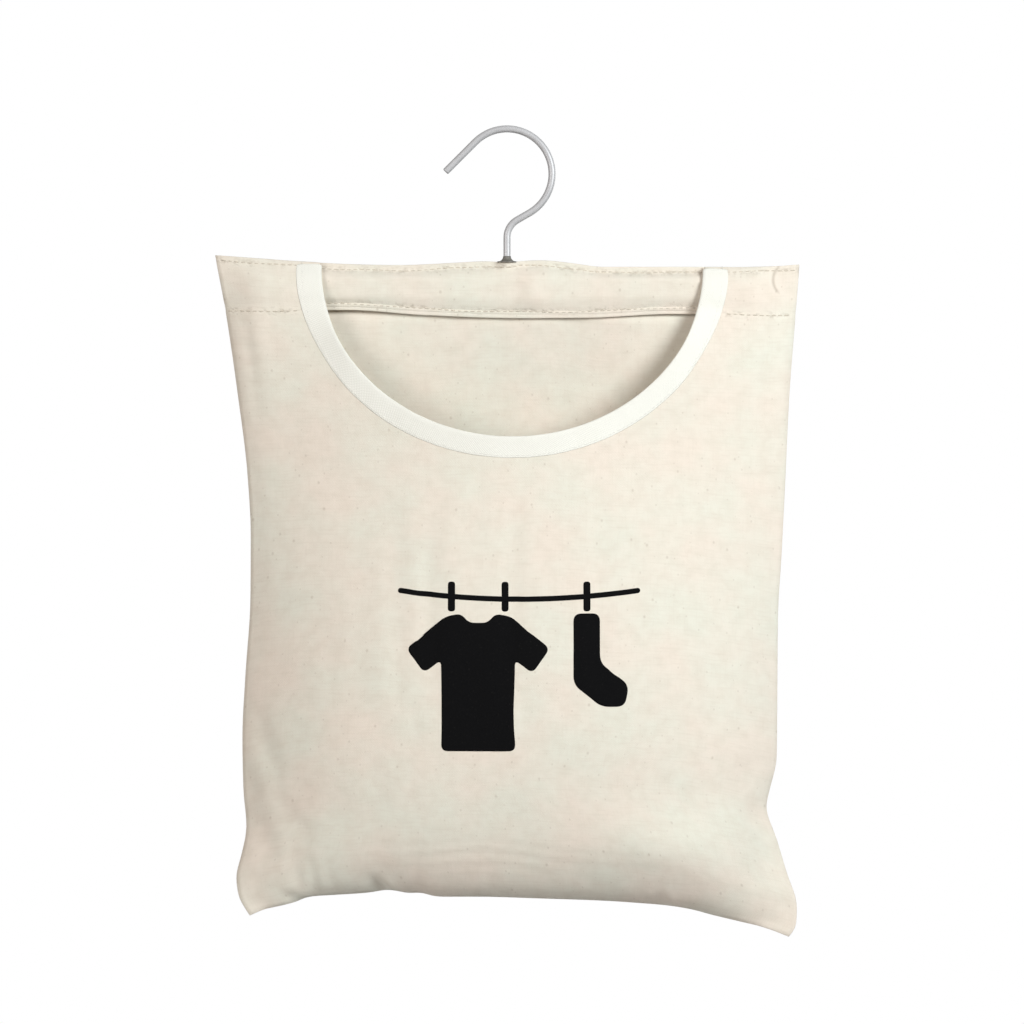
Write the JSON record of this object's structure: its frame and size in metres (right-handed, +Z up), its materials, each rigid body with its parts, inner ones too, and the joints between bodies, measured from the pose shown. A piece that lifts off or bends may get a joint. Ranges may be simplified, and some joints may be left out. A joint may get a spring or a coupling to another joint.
{
  "type": "peg bag",
  "caption": "Canvas peg bag with a scooped, tape-bound front mouth, hung from a wooden bar in a sewn casing by a swivelling wire hook.",
  "frame": {"origin": "inside top of the hook's crook, where the bag hangs on a rail, on the axis that the hook turns about", "axes": "+Z up, X along the bar, and the front of the bag with its mouth faces -Y"},
  "size_m": [0.29, 0.0563, 0.398],
  "materials": {
    "canvas": "undyed cotton canvas with dark seed flecks",
    "binding_tape": "smooth white cotton tape",
    "hook_steel": "bright plated wire",
    "collar_metal": "darkened metal",
    "bar_wood": "plain sanded wood"
  },
  "bodies": {
    "hook": {"hook": "hook_steel"},
    "bag": {"hook_washer": "hook_steel", "hook_collar": "collar_metal", "hanger_bar": "bar_wood", "back_panel": "canvas", "casing_band": "canvas", "front_panel": "canvas", "mouth_binding": "binding_tape"}
  },
  "joints": [
    {"name": "hook_swivel", "type": "hinge", "parent": "hook", "child": "bag", "pos_m": [0, 0, -0.0585], "axis": [0, 0, 1], "continuous": true}
  ]
}
